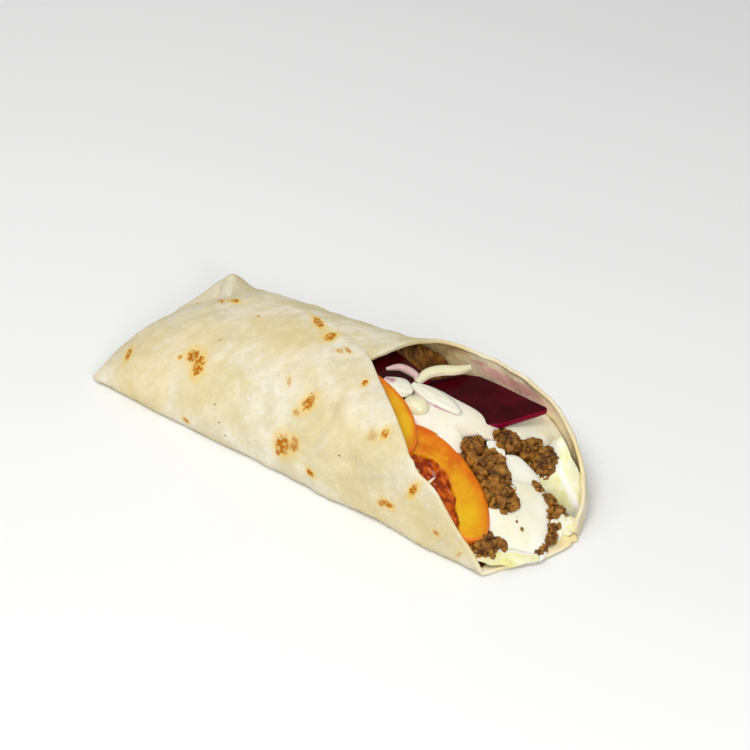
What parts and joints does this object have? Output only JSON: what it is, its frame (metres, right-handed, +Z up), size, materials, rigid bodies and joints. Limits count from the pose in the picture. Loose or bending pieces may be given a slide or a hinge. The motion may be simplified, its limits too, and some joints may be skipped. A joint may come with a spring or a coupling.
{
  "type": "shawarma wrap",
  "caption": "Flour tortilla folded like an envelope round beef, tomato, beet, onion, lettuce and sauce, shut at one end and open at the other.",
  "frame": {"origin": "centre of the wrap's bounding box, on the plane it lies on", "axes": "+X along the wrap from the closed end to the open mouth, +Y to the far fold, +Z up"},
  "size_m": [0.227, 0.0838, 0.0458],
  "materials": {
    "tortilla": "soft matt flour tortilla with toasted spots",
    "tomato": "wet cut tomato, orange wall and darker gel",
    "beet": "wet dark maroon pickled beet",
    "onion": "wet white onion with purple edges",
    "beef": "crumbly browned minced beef",
    "lettuce": "pale yellow-green leaf",
    "sauce": "glossy ivory garlic sauce"
  },
  "bodies": {
    "root": {"tortilla": "tortilla", "tomato_slice_rear": "tomato", "tomato_slice_front": "tomato", "beet_slice_front": "beet", "beet_slice_rear": "beet", "onion_arch": "onion", "onion_petal_front": "onion", "onion_petal_middle": "onion", "onion_sliver": "onion", "onion_bulb": "onion", "beef_crumbs_front": "beef", "lettuce_right": "lettuce", "lettuce_low": "lettuce", "lettuce_end": "lettuce", "sauce_upper": "sauce", "sauce_far": "sauce", "sauce_lower": "sauce", "beef_filling": "beef"}
  },
  "joints": []
}
